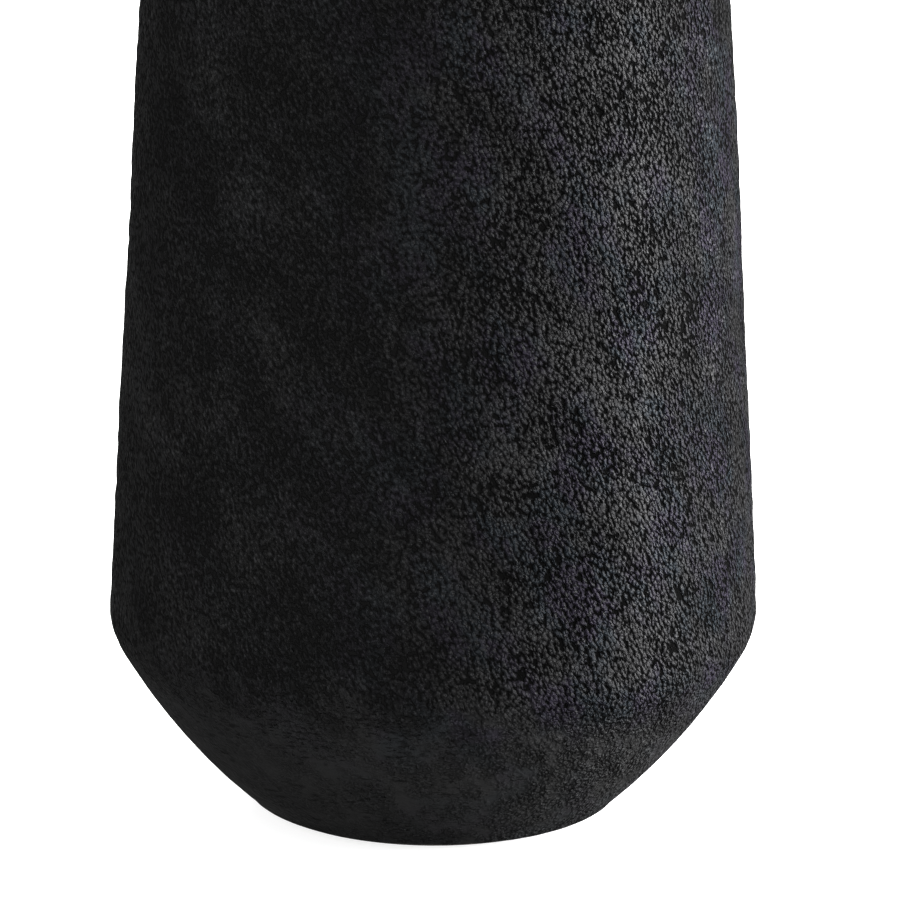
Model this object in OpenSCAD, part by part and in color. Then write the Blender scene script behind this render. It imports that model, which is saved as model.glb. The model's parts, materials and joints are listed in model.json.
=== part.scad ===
// Stoneware bottle vase, thrown in sections, luted with slip and glazed.
// Millimetres, +Z up. The origin is on the axis, at the plane the vase stands on.
//
// Every turned piece follows one outline of the glazed outer surface. A point on
// the wall is given by its place along that outline and its depth below it.

/* [Overall] */
// Height from the standing plane to the top of the lip
total_h = 400; // [380:1:460]
// Largest outer radius, at the lower shoulder
body_r = 100; // [95:0.5:110]
// Outer radius of the neck
neck_r = 38; // [34:0.5:44]

/* [Lower body] */
// Rise of the lowest wall above the horizontal, in degrees
foot_slope = 40; // [36:0.5:44]
// Rise of the tapered wall where it meets the lower shoulder, in degrees
taper_slope = 60.5; // [56:0.5:64]
// Bend radius of the tapered wall
taper_bend_r = 190; // [170:1:200]
// Bend radius of the lower shoulder
low_shoulder_r = 20; // [15:0.5:26]
// Inward lean of the tall wall, in degrees
wall_lean = 3.1; // [1.5:0.1:3.5]

/* [Upper body] */
// Bend radius of the upper shoulder
high_shoulder_r = 28; // [22:0.5:36]
// Heading of the sloped shoulder, in degrees from straight out
shoulder_heading = 155; // [150:0.5:160]
// Hollow bend radius where the shoulder turns up into the neck
neck_bend_r = 14; // [10:0.5:18]
// Length of the straight neck
neck_len = 30; // [26:0.5:36]

/* [Lip] */
// Roll radius of the lip
lip_r = 5; // [4.5:0.1:5.5]
// Heading at which the neck's outward flare meets the lip, in degrees
flare_heading = 50; // [45:1:55]
// Heading at which the lip turns into the throat, in degrees
throat_heading = 250; // [248:1:252]
// Bend radius of the throat
throat_bend_r = 38; // [34:1:42]
// How far the outer glaze runs down inside the throat
glaze_turn_in = 6; // [4:0.5:8]

/* [Walls] */
// Thickness of the outer glaze
glaze_t = 0.8; // [0.6:0.05:1]
// Thickness of the clay wall
clay_t = 6.4; // [5.6:0.1:7]
// Thickness of the liner glaze
liner_t = 0.8; // [0.6:0.05:1]
// Thickness of the floor
floor_t = 8.5; // [7.5:0.1:9.5]

/* [Foot] */
// Rounding of the foot's outer edge, counted with the glaze that stops above it
foot_edge_r = 2; // [1.6:0.1:2.4]
// Bevel on the foot ring's inner edge
foot_bevel = 0.8; // [0.5:0.1:1.5]
// Bare strip left between the foot's edge and the glaze
bare_strip = 1.5; // [1:0.1:3]
// Inner radius of the foot ring
foot_inner_r = 39.5; // [36:0.5:39.5]
// Depth of the recess under the floor, up from the foot ring's flat
foot_recess = 6; // [5:0.1:7]
// Radius of a felt pad
pad_r = 4.5; // [3.5:0.1:4.7]
// Thickness of a felt pad
pad_t = 1; // [0.8:0.1:2]
// Radius of the circle on which the pads' centres lie
pad_circle_r = 45; // [45:0.1:47]

/* [Slip joints] */
// Thickness of the slip in a joint
slip_t = 0.8; // [0.5:0.05:1]
// Length of the lap in a joint
lap = 5; // [4:0.1:6]
// Share of the tapered wall's length at which the floor piece ends
floor_joint_share = 0.32; // [0.28:0.01:0.5]
// Share of the tall wall's length at which its two sections meet
body_joint_share = 0.5; // [0.3:0.01:0.7]
// Share of the neck's length at which the lip section starts
lip_joint_share = 0.7; // [0.45:0.01:0.72]

/* [Glaze seam] */
// Share of the lower shoulder's bend at which the two outer glazes meet
glaze_seam_share = 0.45; // [0.1:0.01:0.9]

/* [Hidden] */

clay_color = [0.17, 0.15, 0.14];
slip_color = [0.26, 0.23, 0.21];
foot_glaze_color = [0.12, 0.12, 0.13];
body_glaze_color = [0.09, 0.09, 0.10];
liner_color = [0.14, 0.14, 0.15];
felt_color = [0.30, 0.29, 0.28];

$fn = 96;
// Short steps into which a bend of the outline is cut
bend_steps = 14;

// Depths below the glazed outer surface
clay_in = glaze_t + clay_t;
wall_in = clay_in + liner_t;
// Depth of the step in a lap joint
step_in = glaze_t + clay_t / 2;

upright = 90;
wall_heading = upright + wall_lean;

// ---- The outline of the glazed surface ----
// A stretch is [heading at its start, heading at its end, bend radius, length].
// A heading of 0 points away from the axis and 90 points up. A bend radius above 0
// turns towards the axis, one below 0 turns away from it, and 0 is a straight line.
function bend_step(h0, h1, r) = r * [sin(h1) - sin(h0), cos(h0) - cos(h1)];
function straight_step(h, len) = len * [cos(h), sin(h)];
function stretch_step(s) = s[2] == 0 ? straight_step(s[0], s[3]) : bend_step(s[0], s[1], s[2]);

// The foot's flat ends where these three bends bring the wall out to body_r.
foot_flat_r = body_r
    - bend_step(0, foot_slope, foot_edge_r).x
    - bend_step(foot_slope, taper_slope, taper_bend_r).x
    - bend_step(taper_slope, upright, low_shoulder_r).x;

// The flare takes the radius that brings the throat back to the neck's bore.
throat_r = neck_r - wall_in;
roll_step = bend_step(flare_heading, throat_heading, lip_r);
throat_step = bend_step(throat_heading, 270, throat_bend_r);
flare_bend_r = (throat_r - neck_r - roll_step.x - throat_step.x)
    / (bend_step(upright, flare_heading, -1).x);
flare_step = bend_step(upright, flare_heading, -flare_bend_r);
lip_top_step = bend_step(flare_heading, 180, lip_r);

// The tall wall and the sloped shoulder take the lengths that make the outline
// reach neck_r and total_h.
low_start = [foot_flat_r, pad_t - glaze_t];
low_end = low_start
    + bend_step(0, foot_slope, foot_edge_r)
    + bend_step(foot_slope, taper_slope, taper_bend_r)
    + bend_step(taper_slope, wall_heading, low_shoulder_r);
gap_to_neck = [neck_r, total_h - lip_top_step.y - flare_step.y - neck_len]
    - low_end
    - bend_step(wall_heading, shoulder_heading, high_shoulder_r)
    - bend_step(shoulder_heading, upright, -neck_bend_r);
turn_between = sin(shoulder_heading - wall_heading);
wall_len = (gap_to_neck.x * sin(shoulder_heading) - gap_to_neck.y * cos(shoulder_heading))
    / turn_between;
slope_len = (gap_to_neck.y * cos(wall_heading) - gap_to_neck.x * sin(wall_heading))
    / turn_between;

STRETCHES = [
    [0, foot_slope, foot_edge_r, 0],
    [foot_slope, taper_slope, taper_bend_r, 0],
    [taper_slope, wall_heading, low_shoulder_r, 0],
    [wall_heading, wall_heading, 0, wall_len],
    [wall_heading, shoulder_heading, high_shoulder_r, 0],
    [shoulder_heading, shoulder_heading, 0, slope_len],
    [shoulder_heading, upright, -neck_bend_r, 0],
    [upright, upright, 0, neck_len],
    [upright, flare_heading, -flare_bend_r, 0],
    [flare_heading, throat_heading, lip_r, 0],
    [throat_heading, 270, throat_bend_r, 0],
    [270, 270, 0, glaze_turn_in]
];
// Index of each named stretch
TAPER = 1;
LOW_SHOULDER = 2;
WALL = 3;
HIGH_SHOULDER = 4;
NECK = 7;
OUTLINE_END = len(STRETCHES);

// A place is a stretch's index plus how far along it, from 0 to 1.
function start_of(i) = i == 0 ? low_start : start_of(i - 1) + stretch_step(STRETCHES[i - 1]);
STARTS = [for (i = [0 : OUTLINE_END - 1]) start_of(i)];

function point_in(i, t, depth) =
    let (s = STRETCHES[i], h = s[0] + (s[1] - s[0]) * t)
    STARTS[i]
        + (s[2] == 0 ? straight_step(h, s[3] * t) : bend_step(s[0], h, s[2]))
        + depth * [-sin(h), cos(h)];
function wall_point(place, depth) =
    let (i = min(floor(place), OUTLINE_END - 1))
    point_in(i, place - i, depth);

// Places of the corners between two places, with short steps along each bend
function corners_between(from, to) = [
    for (i = [floor(from) : min(floor(to), OUTLINE_END - 1)])
        let (steps = STRETCHES[i][2] == 0 ? 1 : bend_steps)
        for (k = [0 : steps - 1])
            let (place = i + k / steps)
            if (place > from + 0.001 && place < to - 0.001) place
];
// The line at one depth from one place up to another, and the same line back down
function up_line(from, to, depth) = [
    for (place = concat([from], corners_between(from, to), [to])) wall_point(place, depth)
];
function down_line(from, to, depth) =
    let (line = up_line(from, to, depth))
    [for (k = [len(line) - 1 : -1 : 0]) line[k]];

// How far a length of the finished surface reaches along stretch i
function share(i, length) =
    let (s = STRETCHES[i], bend_len = abs(s[2]) * abs(s[1] - s[0]) * PI / 180)
    length / (s[2] == 0 ? s[3] : bend_len);

// Place on the tapered wall at which a line at the given depth is at height z
function taper_place(z, depth) =
    let (
        rise_left = taper_bend_r * cos(foot_slope) + STARTS[TAPER].y - z,
        heading = acos(rise_left / (taper_bend_r - depth))
    )
    TAPER + (heading - foot_slope) / (taper_slope - foot_slope);

// ---- Lap joints ----
// A joint is [place of its outer face, stretch it lies on]. The inner half of the
// lower piece stands higher by the lap, and the upper piece hangs outside it.
function lap_end(joint) = joint[0] + share(joint[1], lap);
function over_slip(joint, place) = place + share(joint[1], slip_t);

// Face of the lower piece, from the outside in
function lap_lower(joint) = [
    wall_point(joint[0], glaze_t), wall_point(joint[0], step_in),
    wall_point(lap_end(joint), step_in), wall_point(lap_end(joint), clay_in)
];
// Face of the upper piece, from the inside out
function lap_upper(joint) = [
    wall_point(over_slip(joint, lap_end(joint)), clay_in),
    wall_point(over_slip(joint, lap_end(joint)), step_in - slip_t),
    wall_point(over_slip(joint, joint[0]), step_in - slip_t),
    wall_point(over_slip(joint, joint[0]), glaze_t)
];

recess_z = pad_t + foot_recess;
floor_z = recess_z + floor_t;
foot_place = taper_place(recess_z - slip_t, glaze_t);
underside_place = taper_place(recess_z, glaze_t);
floor_joint = [TAPER + floor_joint_share, TAPER];
belly_joint = [WALL, WALL];
body_joint = [WALL + body_joint_share, WALL];
shoulder_joint = [HIGH_SHOULDER - share(WALL, lap + slip_t), WALL];
neck_joint = [NECK, NECK];
lip_joint = [NECK + lip_joint_share, NECK];
glaze_start = TAPER + share(TAPER, bare_strip);
glaze_seam = LOW_SHOULDER + glaze_seam_share;
throat_seam_z = wall_point(OUTLINE_END, 0).y;
liner_top = NECK + (throat_seam_z - STARTS[NECK].y) / neck_len;

module turned(points) {
    rotate_extrude() polygon(points);
}

// A clay section between two lap joints
module section(below, above) {
    color(clay_color)
        turned(concat(
            lap_upper(below),
            up_line(over_slip(below, below[0]), above[0], glaze_t),
            lap_lower(above),
            down_line(over_slip(below, lap_end(below)), lap_end(above), clay_in)
        ));
}

// The slip that fills one lap joint
module slip_joint(joint) {
    color(slip_color)
        turned(concat(lap_lower(joint), lap_upper(joint)));
}

// ---- Clay pieces ----
// The turned ring the vase stands on
module foot_ring() {
    ring_top_z = recess_z - slip_t;
    color(clay_color)
        turned(concat(
            [[foot_inner_r, ring_top_z], [foot_inner_r, pad_t + foot_bevel]],
            [[foot_inner_r + foot_bevel, pad_t]],
            up_line(0, foot_place, glaze_t)
        ));
}

// The thrown floor slab with its low upturned edge
module base_floor() {
    color(clay_color)
        turned(concat(
            [[0, recess_z]],
            up_line(underside_place, floor_joint[0], glaze_t),
            lap_lower(floor_joint),
            down_line(taper_place(floor_z, clay_in), lap_end(floor_joint), clay_in),
            [[0, floor_z]]
        ));
}

module tapered_wall() section(floor_joint, belly_joint);
module lower_body() section(belly_joint, body_joint);
module upper_body() section(body_joint, shoulder_joint);
module shoulder() section(shoulder_joint, neck_joint);
module neck() section(neck_joint, lip_joint);

// The flared and rolled lip, down to the neck's lap joint
module lip() {
    color(clay_color)
        turned(concat(
            lap_upper(lip_joint),
            up_line(over_slip(lip_joint, lip_joint[0]), OUTLINE_END - 1, glaze_t)
        ));
}

// ---- Slip ----
// The flat slip between the foot ring and the floor
module foot_slip_joint() {
    color(slip_color)
        turned([
            [foot_inner_r, recess_z - slip_t],
            wall_point(foot_place, glaze_t),
            wall_point(underside_place, glaze_t),
            [foot_inner_r, recess_z]
        ]);
}

module floor_slip_joint() slip_joint(floor_joint);
module belly_slip_joint() slip_joint(belly_joint);
module body_slip_joint() slip_joint(body_joint);
module shoulder_slip_joint() slip_joint(shoulder_joint);
module neck_slip_joint() slip_joint(neck_joint);
module lip_slip_joint() slip_joint(lip_joint);

// ---- Glazes ----
module foot_glaze() {
    color(foot_glaze_color)
        turned(concat(
            up_line(glaze_start, glaze_seam, 0),
            down_line(glaze_start, glaze_seam, glaze_t)
        ));
}

module body_glaze() {
    color(body_glaze_color)
        turned(concat(
            up_line(glaze_seam, OUTLINE_END, 0),
            down_line(glaze_seam, OUTLINE_END, glaze_t)
        ));
}

// The glaze poured round the inside, over the floor and up to the throat
module liner_glaze() {
    color(liner_color)
        turned(concat(
            [[0, floor_z]],
            up_line(taper_place(floor_z, clay_in), liner_top, clay_in),
            down_line(taper_place(floor_z + liner_t, wall_in), liner_top, wall_in),
            [[0, floor_z + liner_t]]
        ));
}

// ---- Pads ----
// One felt pad under the foot ring, at an angle counted from the right
module felt_pad(angle) {
    color(felt_color)
        rotate([0, 0, angle]) translate([pad_circle_r, 0, 0]) cylinder(h = pad_t, r = pad_r);
}

module felt_pad_right() felt_pad(0);
module felt_pad_back() felt_pad(90);
module felt_pad_left() felt_pad(180);
module felt_pad_front() felt_pad(270);

foot_ring();
base_floor();
tapered_wall();
lower_body();
upper_body();
shoulder();
neck();
lip();
foot_slip_joint();
floor_slip_joint();
belly_slip_joint();
body_slip_joint();
shoulder_slip_joint();
neck_slip_joint();
lip_slip_joint();
foot_glaze();
body_glaze();
liner_glaze();
felt_pad_front();
felt_pad_right();
felt_pad_back();
felt_pad_left();
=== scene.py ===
"""The looks of the stoneware vase: glaze relief, materials, stage, light and camera.

Lengths are metres in the frame of the CAD model: +Z up, the axis of the vase on Z,
the floor at 0. Names that end in _MM, and all numbers inside materials, are in
millimetres, because the glaze's grain is about a millimetre across.
"""

import json
import math

import bmesh
import bpy
import numpy as np
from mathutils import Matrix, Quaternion, Vector


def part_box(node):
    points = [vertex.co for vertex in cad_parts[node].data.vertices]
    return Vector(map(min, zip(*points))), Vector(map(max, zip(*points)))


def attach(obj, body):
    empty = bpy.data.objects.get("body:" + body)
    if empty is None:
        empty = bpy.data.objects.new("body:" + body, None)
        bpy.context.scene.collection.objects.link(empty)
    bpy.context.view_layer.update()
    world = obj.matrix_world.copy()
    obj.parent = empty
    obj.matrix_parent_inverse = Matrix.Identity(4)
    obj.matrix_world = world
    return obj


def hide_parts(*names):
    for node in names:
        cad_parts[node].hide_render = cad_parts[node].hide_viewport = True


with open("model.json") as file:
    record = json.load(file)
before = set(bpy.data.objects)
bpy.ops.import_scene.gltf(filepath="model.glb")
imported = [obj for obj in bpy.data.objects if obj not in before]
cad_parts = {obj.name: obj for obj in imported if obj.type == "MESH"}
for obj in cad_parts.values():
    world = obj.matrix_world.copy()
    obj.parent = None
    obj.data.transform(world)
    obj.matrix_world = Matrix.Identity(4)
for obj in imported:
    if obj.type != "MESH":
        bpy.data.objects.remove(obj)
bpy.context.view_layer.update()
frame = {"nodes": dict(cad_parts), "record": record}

MM = 0.001
TURN = 2 * math.pi

# ---------------------------------------------------------------- outline
# The finished outer surface, as the CAD model has it. Headings are degrees from
# straight out, and 90 is up. A bend radius below 0 turns away from the axis.

GLAZE_T = 0.8 * MM
CLAY_T = 6.4 * MM
LINER_T = 0.8 * MM
WALL_T = GLAZE_T + CLAY_T + LINER_T

BODY_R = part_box("body_glaze")[1][0]
NECK_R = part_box("neck")[1][0] + GLAZE_T
TOTAL_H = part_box("body_glaze")[1][2]
PAD_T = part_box("felt_pad_front")[1][2]
FLOOR_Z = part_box("liner_glaze")[0][2]
FOOT_TOP_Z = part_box("foot_ring")[1][2]
LINER_TOP_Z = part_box("liner_glaze")[1][2]

FOOT_SLOPE = 40.0
TAPER_SLOPE = 60.5
WALL_HEADING = 93.1
SHOULDER_HEADING = 155.0
FLARE_HEADING = 50.0
THROAT_HEADING = 250.0
FOOT_EDGE_R = 2 * MM
TAPER_BEND_R = 190 * MM
LOW_SHOULDER_R = 20 * MM
HIGH_SHOULDER_R = 28 * MM
NECK_BEND_R = 14 * MM
NECK_LEN = 30 * MM
LIP_R = 5 * MM
THROAT_BEND_R = 38 * MM
GLAZE_TURN_IN = 6 * MM
BARE_STRIP = 1.5 * MM
FOOT_INNER_R = 39.5 * MM
FOOT_BEVEL = 0.8 * MM
GLAZE_SEAM_SHARE = 0.45


def bend_step(start, end, radius):
    """How far a bend goes outward and upward, as an array."""
    a, b = math.radians(start), math.radians(end)
    return radius * np.array([math.sin(b) - math.sin(a), math.cos(a) - math.cos(b)])


def straight_step(heading, length):
    a = math.radians(heading)
    return length * np.array([math.cos(a), math.sin(a)])


def foot_flat_radius():
    """Outer radius of the foot's flat: the three lowest bends bring it out to BODY_R."""
    run = bend_step(0, FOOT_SLOPE, FOOT_EDGE_R) + bend_step(FOOT_SLOPE, TAPER_SLOPE, TAPER_BEND_R)
    return BODY_R - run[0] - bend_step(TAPER_SLOPE, 90, LOW_SHOULDER_R)[0]


def flare_radius():
    """Bend radius of the neck's flare, which closes the lip onto the throat."""
    roll = bend_step(FLARE_HEADING, THROAT_HEADING, LIP_R)[0]
    throat = bend_step(THROAT_HEADING, 270, THROAT_BEND_R)[0]
    return -(WALL_T + roll + throat) / bend_step(90, FLARE_HEADING, -1)[0]


def straight_lengths(low_end, flare_r):
    """Lengths of the tall wall and of the sloped shoulder, which meet NECK_R and TOTAL_H."""
    lip_rise = bend_step(FLARE_HEADING, 180, LIP_R)[1] + bend_step(90, FLARE_HEADING, -flare_r)[1]
    gap = np.array([NECK_R, TOTAL_H - lip_rise - NECK_LEN]) - low_end
    gap -= bend_step(WALL_HEADING, SHOULDER_HEADING, HIGH_SHOULDER_R)
    gap -= bend_step(SHOULDER_HEADING, 90, -NECK_BEND_R)
    both = np.column_stack([straight_step(WALL_HEADING, 1), straight_step(SHOULDER_HEADING, 1)])
    return np.linalg.solve(both, gap)


def make_stretches():
    """Each stretch of the outline: heading at its start, at its end, bend radius, length."""
    start = np.array([foot_flat_radius(), PAD_T - GLAZE_T])
    low = [
        (0, FOOT_SLOPE, FOOT_EDGE_R, 0),
        (FOOT_SLOPE, TAPER_SLOPE, TAPER_BEND_R, 0),
        (TAPER_SLOPE, WALL_HEADING, LOW_SHOULDER_R, 0),
    ]
    low_end = start + sum(bend_step(a, b, r) for a, b, r, _ in low)
    flare_r = flare_radius()
    wall_len, slope_len = straight_lengths(low_end, flare_r)
    high = [
        (WALL_HEADING, WALL_HEADING, 0, wall_len),
        (WALL_HEADING, SHOULDER_HEADING, HIGH_SHOULDER_R, 0),
        (SHOULDER_HEADING, SHOULDER_HEADING, 0, slope_len),
        (SHOULDER_HEADING, 90, -NECK_BEND_R, 0),
        (90, 90, 0, NECK_LEN),
        (90, FLARE_HEADING, -flare_r, 0),
        (FLARE_HEADING, THROAT_HEADING, LIP_R, 0),
        (THROAT_HEADING, 270, THROAT_BEND_R, 0),
        (270, 270, 0, GLAZE_TURN_IN),
    ]
    return start, low + high


OUTLINE_START, STRETCHES = make_stretches()
TAPER, LOW_SHOULDER, NECK = 1, 2, 7


def stretch_length(stretch):
    start, end, radius, length = stretch
    return length if radius == 0 else abs(radius * math.radians(end - start))


LENGTHS = np.array([stretch_length(s) for s in STRETCHES])
ENDS = np.concatenate([[0], np.cumsum(LENGTHS)])
GLAZE_START = TAPER + BARE_STRIP / LENGTHS[TAPER]
SEAM = LOW_SHOULDER + GLAZE_SEAM_SHARE


def length_at(place):
    """Length along the outline to a place: a stretch's index plus the share of it."""
    index = min(int(place), len(STRETCHES) - 1)
    return ENDS[index] + (place - index) * LENGTHS[index]


def outline_at(lengths):
    """Radius, height and heading in radians of the outline at these lengths along it."""
    radius_out = np.zeros_like(lengths)
    height_out = np.zeros_like(lengths)
    heading_out = np.zeros_like(lengths)
    corner = OUTLINE_START.copy()
    for i, (start, end, radius, length) in enumerate(STRETCHES):
        last = i == len(STRETCHES) - 1
        inside = (lengths >= ENDS[i]) & ((lengths < ENDS[i + 1]) | last)
        share = (lengths[inside] - ENDS[i]) / LENGTHS[i]
        a = math.radians(start)
        heading = a + (math.radians(end) - a) * share
        if radius == 0:
            radius_out[inside] = corner[0] + length * share * math.cos(a)
            height_out[inside] = corner[1] + length * share * math.sin(a)
            corner = corner + straight_step(start, length)
        else:
            radius_out[inside] = corner[0] + radius * (np.sin(heading) - math.sin(a))
            height_out[inside] = corner[1] + radius * (math.cos(a) - np.cos(heading))
            corner = corner + bend_step(start, end, radius)
        heading_out[inside] = heading
    return radius_out, height_out, heading_out


def taper_place(height, depth):
    """Place on the tapered wall where the line at a depth below the outline has a height."""
    low_z = OUTLINE_START[1] + bend_step(0, FOOT_SLOPE, FOOT_EDGE_R)[1]
    rise_left = TAPER_BEND_R * math.cos(math.radians(FOOT_SLOPE)) + low_z - height
    heading = math.degrees(math.acos(rise_left / (TAPER_BEND_R - depth)))
    return TAPER + (heading - FOOT_SLOPE) / (TAPER_SLOPE - FOOT_SLOPE)


def line_at(low, high, depth, step):
    """Rows of radius and height along the line at a depth below the outline."""
    start, end = length_at(low), length_at(high)
    count = max(3, int((end - start) / step))
    radius, height, heading = outline_at(np.linspace(start, end, count))
    return np.column_stack([radius - depth * np.sin(heading), height + depth * np.cos(heading)])


def even_steps(corners, step):
    """The same line with rows an even step apart."""
    lengths = np.concatenate([[0], np.cumsum(np.linalg.norm(np.diff(corners, axis=0), axis=1))])
    places = np.linspace(0, lengths[-1], max(3, int(round(lengths[-1] / step)) + 1))
    return np.column_stack([np.interp(places, lengths, corners[:, i]) for i in (0, 1)])


# ---------------------------------------------------------------- noise
NOISE_GAIN = 1.6


def gradient_noise(points, seed):
    """Smooth noise, about -1 to 1, at points given in cells. The same seed gives the same noise."""
    random = np.random.default_rng(seed)
    table = random.permutation(256)
    gradients = random.normal(size=(256, 3)).astype(np.float32)
    gradients /= np.linalg.norm(gradients, axis=1)[:, None]
    cell = np.floor(points).astype(np.int64)
    local = (points - cell).astype(np.float32)
    ease = local * local * local * (local * (local * 6 - 15) + 10)
    total = np.zeros(len(points), dtype=np.float32)
    for corner in range(8):
        offset = np.array([corner & 1, corner >> 1 & 1, corner >> 2 & 1])
        at = (cell + offset) & 255
        gradient = gradients[table[(table[(table[at[:, 0]] + at[:, 1]) & 255] + at[:, 2]) & 255]]
        weight = np.prod(np.where(offset, ease, 1 - ease), axis=1)
        total += weight * np.sum(gradient * (local - offset), axis=1)
    return total * NOISE_GAIN


def soft_step(low, high, value):
    """0 below low, 1 above high, and a smooth rise between."""
    t = np.clip((value - low) / (high - low), 0, 1)
    return t * t * (3 - 2 * t)


# ---------------------------------------------------------------- turned shells
STEP = 1.0 * MM
EDGE_ROW = 0.03 * MM
FEWEST_ROWS = 8
OUTER_ROWS_PER_BACK_ROW = 6


def grid_points(radius, height, columns):
    """Points of rings of these radii and heights. Both are rows x columns, or rows."""
    angle = np.arange(columns) * TURN / columns
    radius = radius if radius.ndim == 2 else np.repeat(radius[:, None], columns, 1)
    height = height if height.ndim == 2 else np.repeat(height[:, None], columns, 1)
    return np.stack([radius * np.cos(angle), radius * np.sin(angle), height], axis=-1)


def ring_quads(rows, columns, closed):
    """Corner numbers of the quads between neighbouring rings."""
    row = np.arange(rows if closed else rows - 1)[:, None]
    column = np.arange(columns)[None, :]
    beside = (column + 1) % columns
    above = (row + 1) % rows
    this_ring, next_ring = row * columns, above * columns
    corners = [this_ring + column, this_ring + beside, next_ring + beside, next_ring + column]
    return np.stack(corners, axis=-1).reshape(-1, 4)


def mesh_object(name, points, quads):
    """A smooth-shaded object from arrays of points and quads."""
    mesh = bpy.data.meshes.new(name)
    mesh.vertices.add(len(points))
    mesh.vertices.foreach_set("co", points.astype(np.float32).ravel())
    mesh.loops.add(quads.size)
    mesh.loops.foreach_set("vertex_index", quads.astype(np.int32).ravel())
    mesh.polygons.add(len(quads))
    mesh.polygons.foreach_set("loop_start", np.arange(0, quads.size, 4, dtype=np.int32))
    mesh.update(calc_edges=True)
    mesh.shade_smooth()
    made = bpy.data.objects.new(name, mesh)
    bpy.context.scene.collection.objects.link(made)
    return made


def shell(name, low, high, depth, thickness, step, relief):
    """A closed turned shell along the outline between two places.

    Its outer side lies at depth below the outline, moved outward by relief, and its
    inner side lies thickness deeper. relief takes points and lengths, and gives metres.
    """
    start, end = length_at(low), length_at(high)
    rows = max(FEWEST_ROWS, int((end - start) / step))
    columns = 8 * int(TURN * BODY_R / step / 8)
    # A row close to each end keeps the shading of the end faces off the outside.
    lengths = np.linspace(start, end, rows)
    lengths = np.concatenate([[start, start + EDGE_ROW], lengths[1:-1], [end - EDGE_ROW, end]])
    rows = len(lengths)
    radius, height, heading = outline_at(lengths)
    base_r = radius - depth * np.sin(heading)
    base_z = height + depth * np.cos(heading)
    flat = grid_points(base_r, base_z, columns)
    along = np.repeat(lengths[:, None], columns, 1)
    lift = relief(flat.reshape(-1, 3), along.ravel()).reshape(rows, columns)
    outer_r = base_r[:, None] + lift * np.sin(heading)[:, None]
    outer_z = base_z[:, None] - lift * np.cos(heading)[:, None]
    outer = grid_points(outer_r, outer_z, columns)
    back_count = max(FEWEST_ROWS, rows // OUTER_ROWS_PER_BACK_ROW)
    back_rows = np.unique(np.linspace(rows - 1, 0, back_count).astype(int))[::-1]
    back = grid_points(
        (radius - (depth + thickness) * np.sin(heading))[back_rows],
        (height + (depth + thickness) * np.cos(heading))[back_rows],
        columns,
    )
    points = np.concatenate([outer.reshape(-1, 3), back.reshape(-1, 3)])
    quads = ring_quads(rows + len(back_rows), columns, closed=True)
    return mesh_object(name, points, quads)


def turned(name, profile, free, columns, lift, closed=False):
    """A piece turned from rows of radius and height, with the outside on the right of the walk.

    lift takes points and gives the metres to move them outward, and free, from 0 to 1,
    says how much of that each row gets.
    """
    ahead = np.roll(profile, -1, axis=0)
    behind = np.roll(profile, 1, axis=0)
    if not closed:
        ahead[-1] = profile[-1]
        behind[0] = profile[0]
    along = ahead - behind
    along /= np.linalg.norm(along, axis=1)[:, None]
    flat = grid_points(profile[:, 0], profile[:, 1], columns)
    moved = lift(flat.reshape(-1, 3)).reshape(flat.shape[:2]) * free[:, None]
    radius = profile[:, 0, None] + moved * along[:, 1, None]
    height = profile[:, 1, None] - moved * along[:, 0, None]
    points = grid_points(radius, height, columns).reshape(-1, 3)
    made = mesh_object(name, points, ring_quads(len(profile), columns, closed))
    join_close_points(made.data)
    return made


def join_close_points(mesh):
    """Join the points that meet on the axis."""
    work = bmesh.new()
    work.from_mesh(mesh)
    bmesh.ops.remove_doubles(work, verts=work.verts, dist=0.001 * MM)
    work.to_mesh(mesh)
    work.free()
    mesh.shade_smooth()


# ---------------------------------------------------------------- relief of the glaze
# Sizes and pitches are metres, and what ends in _MM is how far the surface moves.

LEAN_MM = 0.14
OVAL_MM = 0.12
SWELL_MM = 0.12
SWELL_PITCH = 0.094

CLOUD_SIZE = 0.021
BUMP_SIZE = 0.0066
FINE_SIZE = 0.0034
CLOUD_SEED, BUMP_SEED, FINE_SEED = 12, 13, 14

ROUGH_RAISE_MM = 0.12
ROUGH_RING_MM = 0.05
ROUGH_RING_PITCH = 0.011
ROUGH_RING_WANDER_SIZE = 0.05
ROUGH_RING_SEED = 11
ROUGH_CLOUD_MM = 0.16
ROUGH_BUMP_MM = 0.22
ROUGH_FINE_MM = 0.10

TURNED_GROOVE_MM = 0.025
TURNED_GROOVE_PITCH = 0.0026
TURNED_GROOVE_WANDER_SIZE = 0.03
TURNED_GROOVE_SEED = 21
TURNED_CLOUD_MM = 0.12
TURNED_BUMP_MM = 0.10

ROUGH_FROM_Z = 0.045
ROUGH_FULL_Z = 0.062
FOOT_BEAD_MM = 0.30
FOOT_BEAD_MIDDLE = 0.0018
FOOT_BEAD_SPREAD = 0.0012
FOOT_THINNING_MM = 0.70
FOOT_THINNING_LEN = 0.0009
THROAT_FADE_LEN = 0.004


def hand_wobble(points):
    """Slight unroundness and swell left by throwing, in metres."""
    angle = np.arctan2(points[:, 1], points[:, 0])
    height = points[:, 2]
    lean = LEAN_MM * np.sin(angle + 0.6 + 9 * height)
    oval = OVAL_MM * np.sin(2 * angle + 2.1 - 5 * height)
    swell = SWELL_MM * np.sin(TURN * height / SWELL_PITCH + 0.7 * np.sin(angle + 1.2))
    return (lean + oval + swell) * MM


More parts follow.
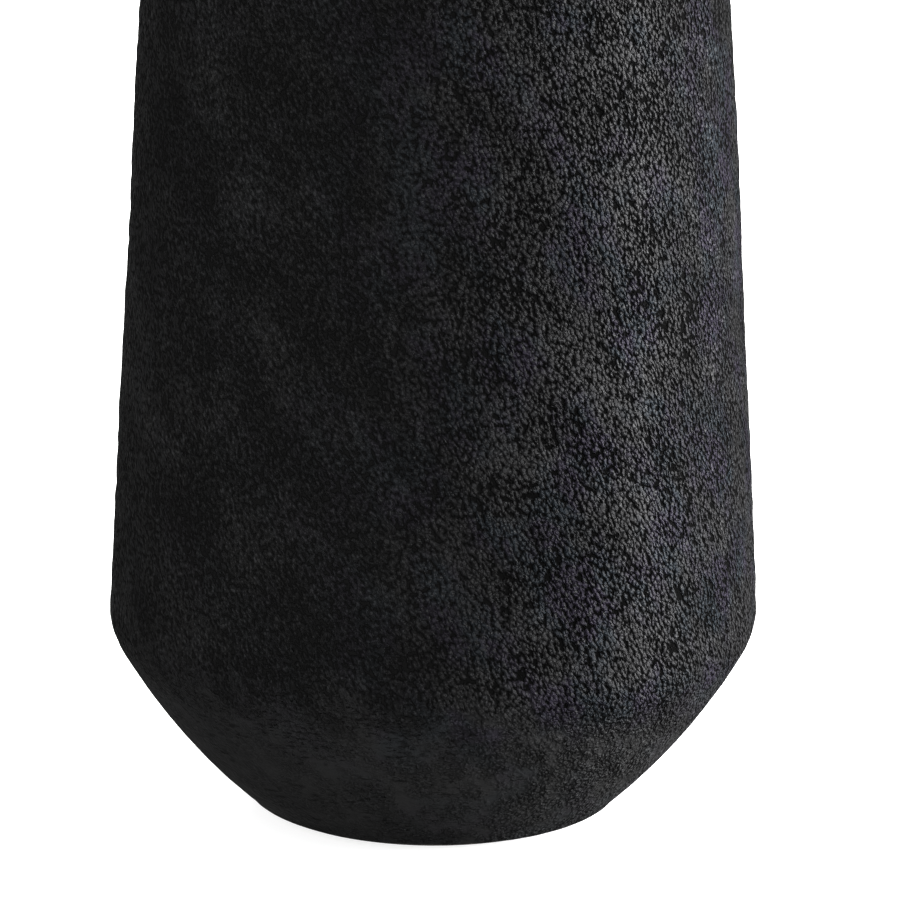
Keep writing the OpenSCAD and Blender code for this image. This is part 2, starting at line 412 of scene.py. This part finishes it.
def rough_lift(points, lengths):
    """Millimetres of the sandy glaze: throwing rings, clouds and two sizes of soft bumps."""
    wander = 2 * gradient_noise(points / ROUGH_RING_WANDER_SIZE, ROUGH_RING_SEED)
    rings = ROUGH_RING_MM * np.sin(TURN * lengths / ROUGH_RING_PITCH + wander)
    clouds = ROUGH_CLOUD_MM * gradient_noise(points / CLOUD_SIZE, CLOUD_SEED)
    bumps = ROUGH_BUMP_MM * gradient_noise(points / BUMP_SIZE, BUMP_SEED)
    fine = ROUGH_FINE_MM * gradient_noise(points / FINE_SIZE, FINE_SEED)
    return ROUGH_RAISE_MM + rings + clouds + bumps + fine


def turned_lift(points, lengths):
    """Millimetres of the smoother glaze under the shoulder, with fine turning grooves."""
    wander = 3 * gradient_noise(points / TURNED_GROOVE_WANDER_SIZE, TURNED_GROOVE_SEED)
    grooves = TURNED_GROOVE_MM * np.sin(TURN * lengths / TURNED_GROOVE_PITCH + wander)
    clouds = TURNED_CLOUD_MM * gradient_noise(points / CLOUD_SIZE, CLOUD_SEED)
    bumps = TURNED_BUMP_MM * gradient_noise(points / BUMP_SIZE, BUMP_SEED)
    return grooves + clouds + bumps


def outer_relief(points, lengths):
    """Lift of the outer glaze, in metres, with a bead over the foot and none in the throat.

    Right at the foot's edge the coat thins out almost to the clay.
    """
    rough = soft_step(ROUGH_FROM_Z, ROUGH_FULL_Z, points[:, 2])
    lift = rough * rough_lift(points, lengths) + (1 - rough) * turned_lift(points, lengths)
    above_foot = lengths - length_at(GLAZE_START)
    lift += FOOT_BEAD_MM * np.exp(-(((above_foot - FOOT_BEAD_MIDDLE) / FOOT_BEAD_SPREAD) ** 2))
    lift -= FOOT_THINNING_MM * (1 - soft_step(0, FOOT_THINNING_LEN, above_foot))
    free = soft_step(0, THROAT_FADE_LEN, ENDS[-1] - lengths)
    return (lift * MM + hand_wobble(points)) * free


# ---------------------------------------------------------------- materials
class Nodes:
    """A material's node tree, with one short method for each kind of node used here."""

    def __init__(self, name):
        self.material = bpy.data.materials.new(name)
        self.material.use_nodes = True
        self.tree = self.material.node_tree
        self.tree.nodes.clear()
        self.out = self.tree.nodes.new("ShaderNodeOutputMaterial")
        self.shader = self.tree.nodes.new("ShaderNodeBsdfPrincipled")
        self.link(self.shader.outputs["BSDF"], self.out.inputs["Surface"])
        where = self.tree.nodes.new("ShaderNodeTexCoord")
        self.place = self.stretch(where.outputs["Object"], (1 / MM, 1 / MM, 1 / MM))

    def link(self, source, target):
        self.tree.links.new(source, target)

    def feed(self, socket, value):
        """Set a socket to a number or a colour, or link it to another node's output."""
        if isinstance(value, bpy.types.NodeSocket):
            self.link(value, socket)
        else:
            socket.default_value = value

    def math(self, operation, a, b=0.0):
        made = self.tree.nodes.new("ShaderNodeMath")
        made.operation = operation
        self.feed(made.inputs[0], a)
        self.feed(made.inputs[1], b)
        return made.outputs[0]

    def stretch(self, vector, factors):
        """A vector with each part multiplied by its own factor."""
        made = self.tree.nodes.new("ShaderNodeVectorMath")
        made.operation = "MULTIPLY"
        self.feed(made.inputs[0], vector)
        made.inputs[1].default_value = factors
        return made.outputs[0]

    def split(self, vector):
        made = self.tree.nodes.new("ShaderNodeSeparateXYZ")
        self.feed(made.inputs[0], vector)
        return made.outputs

    def noise(self, vector, size, detail=0.0, roughness=0.5):
        """Noise of about 0 to 1, whose cells are size millimetres across."""
        made = self.tree.nodes.new("ShaderNodeTexNoise")
        self.feed(made.inputs["Vector"], vector)
        made.inputs["Scale"].default_value = 1 / size
        made.inputs["Detail"].default_value = detail
        made.inputs["Roughness"].default_value = roughness
        return made.outputs["Fac"]

    def cells(self, vector, size):
        """Distance to the nearest of scattered points, size millimetres apart."""
        made = self.tree.nodes.new("ShaderNodeTexVoronoi")
        self.feed(made.inputs["Vector"], vector)
        made.inputs["Scale"].default_value = 1 / size
        return made.outputs["Distance"]

    def shaken(self, vector, size, amount):
        """Points moved by up to about amount millimetres, in swirls size millimetres across."""
        swirl = self.tree.nodes.new("ShaderNodeTexNoise")
        self.feed(swirl.inputs["Vector"], vector)
        swirl.inputs["Scale"].default_value = 1 / size
        swirl.inputs["Detail"].default_value = 1
        made = self.tree.nodes.new("ShaderNodeVectorMath")
        made.operation = "MULTIPLY_ADD"
        self.feed(made.inputs[0], swirl.outputs["Color"])
        made.inputs[1].default_value = (2 * amount, 2 * amount, 2 * amount)
        self.feed(made.inputs[2], vector)
        return made.outputs[0]

    def twist(self, vector, turn_per_mm):
        """Turn points about the axis by an angle that grows with height."""
        made = self.tree.nodes.new("ShaderNodeVectorRotate")
        made.rotation_type = "Z_AXIS"
        self.feed(made.inputs["Vector"], vector)
        self.feed(made.inputs["Angle"], self.math("MULTIPLY", self.split(vector)[2], turn_per_mm))
        return made.outputs[0]

    def centred(self, value, strength):
        """A value of 0 to 1, moved to lie about 0 and made as strong as strength."""
        return self.math("MULTIPLY", self.math("SUBTRACT", value, 0.5), strength)

    def rise(self, value, low, high, to_low=0.0, to_high=1.0):
        """A smooth change from to_low to to_high as value goes from low to high."""
        made = self.tree.nodes.new("ShaderNodeMapRange")
        made.interpolation_type = "SMOOTHSTEP"
        for socket, number in zip(made.inputs[:5], (value, low, high, to_low, to_high)):
            self.feed(socket, number)
        return made.outputs[0]

    def mix(self, share, a, b):
        """A colour from a to b."""
        made = self.tree.nodes.new("ShaderNodeMix")
        made.data_type = "RGBA"
        self.feed(made.inputs[0], share)
        self.feed(made.inputs[6], a)
        self.feed(made.inputs[7], b)
        return made.outputs[2]

    def bump(self, height, distance_mm, before=None):
        """Normals of a height of 0 to 1 that stands for distance_mm."""
        made = self.tree.nodes.new("ShaderNodeBump")
        made.inputs["Strength"].default_value = 1.0
        made.inputs["Distance"].default_value = distance_mm * MM
        self.feed(made.inputs["Height"], height)
        if before is not None:
            self.feed(made.inputs["Normal"], before)
        return made.outputs[0]

    def finish(self, color, roughness, normal, specular):
        self.feed(self.shader.inputs["Base Color"], color)
        self.feed(self.shader.inputs["Roughness"], roughness)
        self.feed(self.shader.inputs["Normal"], normal)
        self.shader.inputs["Specular IOR Level"].default_value = specular
        return self.material


# Base colours of the outer glaze, from its lightest flecks, whose paleness is painted highlight, to
# its deepest pits, whose darkness is painted shade.
TOP_LEVEL = 0.0132
THIN_DARKENING = 0.34
PAINTED_GLINT_FLECK_LEVEL = 0.0165
PIT_SHADE_LEVEL = 0.0006
SOFT_LIGHT_PIT_SHADE_LEVEL = 0.0040
SMOOTH_LEVEL = 0.0086
SCRATCH_LEVEL = 0.0035


def tinted(level, red, green, blue):
    """A colour of one level, with a factor for each part."""
    return (level * red, level * green, level * blue, 1.0)


def grey(level, blue=0.0):
    """A dark, almost neutral colour, bluer as blue grows."""
    return (level * (1 - 0.5 * blue), level * (1 - 0.35 * blue), level * (1 + blue), 1.0)


# Millimetres: where the grain is full and where it has thinned out, and its sizes.
GRAIN_FULL_Z = 66.0
GRAIN_THIN_Z = 40.0
PIT_SPACING = 1.35
SMALL_PIT_SPACING = 0.85
SAND_SIZE = 1.3
GRAIN_CLOUD_SIZE = 16
GRAIN_DEPTH = 3.6
STREAK_DEPTH = 0.2
SCRATCH_DEPTH = 0.25
# Radians that the grain turns about the axis for each millimetre of height.
GRAIN_TWIST = 0.0035
GLAZE_SPECULAR = 0.008


def grain_tint(n, place):
    """Colour of the tops of the grain: dark grey that drifts to blue and violet."""
    blue = n.rise(n.noise(place, size=19, detail=2), 0.40, 0.60)
    violet = n.rise(n.noise(place, size=11, detail=2), 0.42, 0.58)
    cool = n.mix(violet, tinted(TOP_LEVEL, 0.80, 1.00, 1.22), tinted(TOP_LEVEL, 0.98, 0.84, 1.30))
    return n.mix(blue, tinted(TOP_LEVEL, 1.0, 0.99, 1.02), cool)


def grain_amount(n, place, x, z):
    """1 above the lower shoulder. Below it the grain thins out into patches, fuller toward +X."""
    dip = n.rise(x, 20, 90, to_low=0, to_high=16)
    ragged = n.centred(n.noise(place, size=12, detail=3, roughness=0.6), 44)
    scattered = n.centred(n.noise(place, size=2.2, detail=2, roughness=0.6), 40)
    line = n.math("SUBTRACT", n.math("SUBTRACT", n.math("ADD", z, dip), ragged), scattered)
    above = n.rise(line, GRAIN_THIN_Z, GRAIN_FULL_Z)
    patches = n.rise(n.noise(place, size=9, detail=3, roughness=0.6), 0.34, 0.62)
    fuller = n.rise(x, -45, 60, to_low=0.30, to_high=0.85)
    return n.math("MAXIMUM", above, n.math("MULTIPLY", patches, fuller))


def scratches(n):
    """Short dark marks dragged round the vase while it was turned, in clusters, 0 to 1."""
    long_way = n.stretch(n.place, (0.25, 0.25, 1.0))
    short_way = n.stretch(n.place, (0.6, 0.6, 1.0))
    marks = n.rise(n.noise(long_way, size=0.85, detail=1), 0.56, 0.66)
    specks = n.rise(n.noise(short_way, size=0.8, detail=1), 0.62, 0.72)
    clusters = n.rise(n.noise(short_way, size=9, detail=2, roughness=0.6), 0.42, 0.60)
    return n.math("MULTIPLY", n.math("MAXIMUM", marks, specks), clusters)


def pitted_grain(n, place):
    """Height of the grain, 0 to 1: uneven granules with gaps between them, in clouds; the colour
    paints shade into the gaps.
    """
    gaps = n.cells(n.shaken(place, size=1.7, amount=0.4), PIT_SPACING)
    small = n.centred(n.cells(place, SMALL_PIT_SPACING), 0.30)
    sand = n.centred(n.noise(place, SAND_SIZE, detail=1), 1.0)
    cloud = n.centred(n.noise(place, GRAIN_CLOUD_SIZE, detail=4, roughness=0.6), 0.8)
    level = n.math("ADD", n.math("ADD", gaps, small), n.math("ADD", sand, cloud))
    return n.rise(level, 0.10, 0.90, to_low=1, to_high=0)


def outer_glaze(name):
    """Matte black glaze: sandy grain above the lower shoulder, satin with turning marks below.

    Toward -X the pits are paler and the tint weaker. That is how the photo's softer light on
    that side looks, so it is lighting kept in the material, not something the glaze is known
    to do.
    """
    n = Nodes(name)
    x, _, z = n.split(n.place)
    place = n.stretch(n.twist(n.place, GRAIN_TWIST), (1, 1, 0.8))
    amount = grain_amount(n, place, x, z)
    smooth = n.math("SUBTRACT", 1.0, amount)
    grain = pitted_grain(n, place)
    dragged = n.math("MULTIPLY", scratches(n), smooth)
    round_way = n.stretch(n.place, (0.07, 0.07, 1.0))
    streaks = n.noise(round_way, size=0.7, detail=2, roughness=0.6)

    normal = n.bump(n.math("MULTIPLY", grain, amount), GRAIN_DEPTH)
    normal = n.bump(n.math("MULTIPLY", streaks, smooth), STREAK_DEPTH, normal)
    normal = n.bump(n.math("SUBTRACT", 1.0, dragged), SCRATCH_DEPTH, normal)

    high = n.math("MAXIMUM", n.rise(grain, 0.03, 0.42), smooth)
    # Flecks are glossier specks of the glaze, and their paler colour is a painted highlight
    # standing for glints on the granule tops.
    flecks_and_painted_glints = n.math("MULTIPLY", n.rise(n.noise(place, size=1.1, detail=1), 0.54, 0.68), amount)
    tint_up = n.rise(z, 30, 62, to_low=0.2)
    # Painted light: the tint fades toward -X, as the softer light on that side looks, not a tint
    # the glaze is known to have.
    lit_side_tint_share = n.rise(x, -60, 60, to_low=0.12)
    tint_share = n.math("MULTIPLY", tint_up, lit_side_tint_share)
    plain = n.mix(amount, tinted(SMOOTH_LEVEL, 1, 1, 1), tinted(TOP_LEVEL, 1, 1, 1))
    tint = n.mix(tint_share, plain, grain_tint(n, place))
    top = n.mix(flecks_and_painted_glints, tint, tinted(PAINTED_GLINT_FLECK_LEVEL, 0.98, 1.0, 1.05))
    # Pit colour is painted shade, the shadow that falls inside the pits, nearly black toward +X;
    # toward -X the pits are painted paler, as the softer light on that side looks.
    pit_shade = n.mix(n.rise(x, -30, 50), tinted(SOFT_LIGHT_PIT_SHADE_LEVEL, 1, 1, 1), tinted(PIT_SHADE_LEVEL, 1, 1, 1))
    thin_cloud = n.noise(place, size=24, detail=3, roughness=0.55)
    thin_share = n.rise(thin_cloud, 0.42, 0.58, to_low=THIN_DARKENING, to_high=0)
    thin = n.math("MULTIPLY", thin_share, amount)
    # The gaps between the granules take the painted pit shade.
    color = n.mix(high, pit_shade, n.mix(thin, top, pit_shade))
    color = n.mix(dragged, color, tinted(SCRATCH_LEVEL, 1, 1, 1))
    dull = n.rise(high, 0, 1, to_low=0.9, to_high=0.45)
    roughness = n.math("SUBTRACT", dull, n.math("MULTIPLY", flecks_and_painted_glints, 0.15))
    return n.finish(color, roughness, normal, GLAZE_SPECULAR)


def liner_glaze():
    """Satin black glaze poured inside, with soft orange-peel."""
    n = Nodes("liner_glaze")
    peel = n.noise(n.place, size=2.2, detail=2)
    cloud = n.rise(n.noise(n.place, size=20, detail=3), 0.4, 0.6)
    color = n.mix(cloud, grey(0.010), grey(0.018, 0.15))
    roughness = n.rise(cloud, 0, 1, to_low=0.35, to_high=0.5)
    return n.finish(color, roughness, n.bump(peel, 0.12), specular=0.4)


RING_PITCH_MM = 1.9


def bare_clay(name, level, grog_level):
    """Dark fired clay with pale grog specks, pits and turning rings."""
    n = Nodes(name)
    specks = n.rise(n.cells(n.place, size=1.6), 0.10, 0.20)
    cloud = n.rise(n.noise(n.place, size=12, detail=3, roughness=0.6), 0.35, 0.65)
    body = n.mix(cloud, tinted(level, 1, 0.9, 0.82), tinted(level, 1.5, 1.32, 1.2))
    color = n.mix(specks, tinted(grog_level, 1, 0.92, 0.85), body)
    normal = n.bump(n.noise(n.place, size=0.7, detail=3, roughness=0.6), 0.35)
    x, y, z = n.split(n.place)
    from_axis = n.math("SQRT", n.math("ADD", n.math("MULTIPLY", x, x), n.math("MULTIPLY", y, y)))
    ring = n.math("SINE", n.math("MULTIPLY", n.math("ADD", from_axis, z), TURN / RING_PITCH_MM))
    return n.finish(color, 0.85, n.bump(ring, 0.06, normal), specular=0.3)


def felt():
    """Charcoal felt: matted fibres and pale lint."""
    n = Nodes("felt")
    fibre = n.noise(n.stretch(n.place, (1, 0.35, 1)), size=0.22, detail=3, roughness=0.7)
    lint = n.rise(n.noise(n.place, size=0.5, detail=2, roughness=0.6), 0.58, 0.70)
    color = n.mix(lint, grey(0.045), grey(0.11))
    made = n.finish(color, 0.95, n.bump(fibre, 0.25), specular=0.2)
    n.shader.inputs["Sheen Weight"].default_value = 0.4
    return made


# ---------------------------------------------------------------- pieces
MATERIALS = {
    "body_glaze": outer_glaze("body_glaze"),
    "foot_glaze": outer_glaze("foot_glaze"),
    "liner_glaze": liner_glaze(),
    "clay": bare_clay("clay", 0.030, 0.16),
    "slip": bare_clay("slip", 0.050, 0.07),
    "felt": felt(),
}
SLOTS = {part["node"]: part["material_slot"] for part in frame["record"]["subparts"]}


def paint_cad_nodes():
    """Give every CAD node that stays its procedural material."""
    for node_name, cad_object in frame["nodes"].items():
        cad_object.data.materials.clear()
        cad_object.data.materials.append(MATERIALS[SLOTS[node_name]])


def add_piece(piece, node_name):
    """Put a visual piece in the place of a CAD node."""
    slot = SLOTS[node_name]
    piece.data.materials.append(MATERIALS[slot])
    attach(piece, "root")
    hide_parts(node_name)


def make_glazes():
    body = shell("body_glaze_skin", SEAM, len(STRETCHES), 0, GLAZE_T, STEP, outer_relief)
    add_piece(body, "body_glaze")
    foot = shell("foot_glaze_skin", GLAZE_START, SEAM, 0, GLAZE_T, STEP, outer_relief)
    add_piece(foot, "foot_glaze")


LINER_STEP = 2.2 * MM
HIDDEN_STEP = 4 * LINER_STEP
RING_STEP = 0.35 * MM
PAD_STEP = 0.35 * MM
PAD_COLUMNS = 96
CORNER_ROUND = 9 * MM

# The spiral of the liner and the cuts in the foot ring, as in the relief above.
SPIRAL_MM = 0.42
SPIRAL_PITCH = 0.0085
SPIRAL_WANDER_SIZE = 0.04
SPIRAL_SEED = 31
LINER_CLOUD_MM = 0.22
LINER_CLOUD_SIZE = 0.018
LINER_CLOUD_SEED = 32
TRIM_GROOVE_MM = 0.05
TRIM_GROOVE_PITCH = 0.0014
TRIM_WANDER_SIZE = 0.02
TRIM_SEED = 41
DRAG_MM = 0.12
DRAG_SIZE = np.array([0.006, 0.006, 0.0012])
DRAG_SEED = 42
NAP_MM = 0.10
NAP_SIZE = 0.0009
NAP_SEED = 51


def rounded_floor(wall, floor_z):
    """The free face of the liner from its top down the wall, round the corner and to the axis."""
    corner = wall[0]
    wall = wall[wall[:, 1] > floor_z + 0.6 * CORNER_ROUND]
    floor_end = np.array([corner[0] - CORNER_ROUND, floor_z])
    share = np.linspace(0, 1, 12)[1:-1, None]
    bend = (1 - share) ** 2 * wall[0] + 2 * share * (1 - share) * corner + share**2 * floor_end
    return even_steps(np.concatenate([wall[::-1], bend, [floor_end, [0, floor_z]]]), LINER_STEP)


def throwing_rings(points):
    """The fingers' spiral inside: ridges over the floor and up the wall, in metres."""
    radius = np.hypot(points[:, 0], points[:, 1])
    height = points[:, 2]
    on_wall = soft_step(0.004, 0.020, height - FLOOR_Z)
    travel = on_wall * height - (1 - on_wall) * radius
    wander = 1.3 * gradient_noise(points / SPIRAL_WANDER_SIZE, SPIRAL_SEED)
    angle = np.arctan2(points[:, 1], points[:, 0])
    ridges = 0.5 + 0.5 * np.sin(TURN * travel / SPIRAL_PITCH + angle + wander)
    clouds = 0.5 + 0.4 * gradient_noise(points / LINER_CLOUD_SIZE, LINER_CLOUD_SEED)
    fade = soft_step(0.0005, 0.009, radius) * soft_step(0, 0.008, LINER_TOP_Z - height)
    return (SPIRAL_MM * ridges + LINER_CLOUD_MM * clouds) * fade * MM


def make_liner():
    """The poured liner: a coat from the floor's middle up to the glaze in the throat."""
    neck_low_z = outline_at(np.array([ENDS[NECK]]))[1][0]
    top = NECK + (LINER_TOP_Z - neck_low_z) / NECK_LEN
    clay_face = WALL_T - LINER_T
    back = line_at(taper_place(FLOOR_Z, clay_face), top, clay_face, HIDDEN_STEP)
    back = np.concatenate([even_steps(np.array([[0, FLOOR_Z], back[0]]), HIDDEN_STEP), back[1:]])
    floor_z = FLOOR_Z + LINER_T
    face = rounded_floor(line_at(taper_place(floor_z, WALL_T), top, WALL_T, LINER_STEP), floor_z)
    free = np.concatenate([np.zeros(len(back)), np.ones(len(face))])
    columns = int(TURN * BODY_R / LINER_STEP)
    profile = np.concatenate([back, face])
    add_piece(turned("liner_coat", profile, free, columns, throwing_rings), "liner_glaze")


def ring_grooves(points):
    """Fine grooves of the trimming tool and drag marks of the grog, in metres, as cuts."""
    travel = np.hypot(points[:, 0], points[:, 1]) + points[:, 2]
    wander = 2 * gradient_noise(points / TRIM_WANDER_SIZE, TRIM_SEED)
    grooves = 0.5 + 0.5 * np.sin(TURN * travel / TRIM_GROOVE_PITCH + wander)
    drags = np.clip(gradient_noise(points / DRAG_SIZE, DRAG_SEED) - 0.25, 0, 1)
    return -(TRIM_GROOVE_MM * grooves + DRAG_MM * drags) * MM


def make_foot_ring():
    """The bare foot ring, with a bevel inside and a rounded edge outside."""
    outer = line_at(0, taper_place(FOOT_TOP_Z, GLAZE_T), GLAZE_T, RING_STEP)
    bevel_end = [FOOT_INNER_R + FOOT_BEVEL, PAD_T]
    inner = [[FOOT_INNER_R, FOOT_TOP_Z], [FOOT_INNER_R, PAD_T + FOOT_BEVEL], bevel_end]
    corners = np.concatenate([inner, outer, [inner[0]]])
    profile = even_steps(corners, RING_STEP)[:-1]
    free = (profile[:, 1] < FOOT_TOP_Z - 0.0005).astype(float)
    columns = int(TURN * FOOT_INNER_R / RING_STEP)
    ring = turned("foot_ring_turned", profile, free, columns, ring_grooves, closed=True)
    add_piece(ring, "foot_ring")


def felt_nap(points):
    """The uneven cut edge of a felt pad, in metres."""
    return -(NAP_MM + NAP_MM * gradient_noise(points / NAP_SIZE, NAP_SEED)) * MM


def pad_profile(radius, thick):
    """Rows of a pad from the middle of its underside, round its edge, to the middle on top."""
    turns = np.linspace(0, math.pi, 9)
    edge_r = radius - thick / 2 * (1 - np.sin(turns))
    edge = np.column_stack([edge_r, thick / 2 * (1 - np.cos(turns))])
    under = even_steps(np.array([[0, 0], edge[0]]), PAD_STEP)
    top = np.column_stack([under[::-1, 0], 0 * under[:, 0] + thick])
    return np.concatenate([under[:-1], edge, top[1:]])


def make_pads():
    """Four punched felt pads with soft edges."""
    for side in ("front", "right", "back", "left"):
        node_name = "felt_pad_" + side
        low, high = np.array(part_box(node_name))
        radius = (high[0] - low[0]) / 2
        thick = high[2]
        profile = pad_profile(radius, thick)
        free = soft_step(0, thick / 2, np.minimum(profile[:, 1], thick - profile[:, 1]))
        pad = turned(node_name + "_disc", profile, free, PAD_COLUMNS, felt_nap)
        middle = (low + high) / 2
        pad.location = (middle[0], middle[1], 0)
        add_piece(pad, node_name)


# ---------------------------------------------------------------- stage, light, camera
CAMERA_DISTANCE = 2.5
CAMERA_ELEVATION = 16.2
CAMERA_LENS_MM = 324.2
CAMERA_ROLL = 0.3
AIM = Vector((0.0051, 0, 0.1117))
LIGHT_AIM = Vector((0, 0, 0.16))
ROOM_LIGHT = 1.5
ROOM_REFLECTION = 0.25
FLOOR_SIZE = 24
FLOOR_GLOW = 0.8


def make_stage():
    """A plain floor that also glows, as a light table does, so that shadows stay pale."""
    bpy.ops.mesh.primitive_plane_add(size=FLOOR_SIZE, location=(0, 0, 0))
    floor = bpy.context.object
    floor.name = "floor"
    n = Nodes("floor")
    cloud = n.noise(n.place, size=220, detail=2)
    mottled = n.mix(cloud, tinted(0.49, 1, 1, 1), tinted(0.51, 1, 1, 1))
    tooth = n.bump(n.noise(n.place, size=3, detail=1), 0.02)
    n.finish(mottled, 0.9, tooth, specular=0.1)
    n.shader.inputs["Emission Color"].default_value = tinted(1, 1, 1, 1)
    n.shader.inputs["Emission Strength"].default_value = FLOOR_GLOW
    floor.data.materials.append(n.material)
    floor.visible_glossy = False


def make_room():
    """A white room, dimmer where it is only seen reflected in the glaze."""
    world = bpy.data.worlds.new("white room")
    world.use_nodes = True
    nodes = world.node_tree.nodes
    path = nodes.new("ShaderNodeLightPath")
    strength = nodes.new("ShaderNodeMapRange")
    strength.inputs["To Min"].default_value = ROOM_LIGHT
    strength.inputs["To Max"].default_value = ROOM_REFLECTION
    world.node_tree.links.new(path.outputs["Is Glossy Ray"], strength.inputs["Value"])
    world.node_tree.links.new(strength.outputs["Result"], nodes["Background"].inputs["Strength"])
    nodes["Background"].inputs["Color"].default_value = (1, 1, 1, 1)
    bpy.context.scene.world = world


def soft_box(name, azimuth, elevation, distance, width, height, power):
    """An area light aimed at the vase. Azimuth 0 is the camera's side, 90 is the right."""
    light = bpy.data.lights.new(name, "AREA")
    light.shape = "RECTANGLE"
    light.size = width
    light.size_y = height
    light.energy = power
    made = bpy.data.objects.new(name, light)
    a, e = math.radians(azimuth), math.radians(elevation)
    direction = Vector((math.sin(a) * math.cos(e), -math.cos(a) * math.cos(e), math.sin(e)))
    made.location = LIGHT_AIM + distance * direction
    made.rotation_euler = (-direction).to_track_quat("-Z", "Y").to_euler()
    made.visible_camera = False
    bpy.context.scene.collection.objects.link(made)


def make_camera():
    camera = bpy.data.objects.new("camera", bpy.data.cameras.new("camera"))
    camera.data.lens = CAMERA_LENS_MM
    camera.data.sensor_width = 36
    camera.data.dof.use_dof = False
    e = math.radians(CAMERA_ELEVATION)
    back = Vector((0, -math.cos(e), math.sin(e)))
    camera.location = AIM + CAMERA_DISTANCE * back
    roll = Quaternion((0, 0, 1), math.radians(CAMERA_ROLL))
    camera.rotation_euler = ((-back).to_track_quat("-Z", "Y") @ roll).to_euler()
    bpy.context.scene.collection.objects.link(camera)
    bpy.context.scene.camera = camera


paint_cad_nodes()
make_glazes()
make_liner()
make_foot_ring()
make_pads()
make_stage()
make_room()
soft_box("right soft box", 100, 1, distance=1.15, width=1.1, height=0.8, power=186)
soft_box("back soft box", 180, 12, distance=1.3, width=0.5, height=0.9, power=45)
soft_box("top soft box", 0, 84, distance=1.2, width=0.6, height=0.6, power=12)
make_camera()
bpy.context.scene.view_settings.view_transform = "Standard"
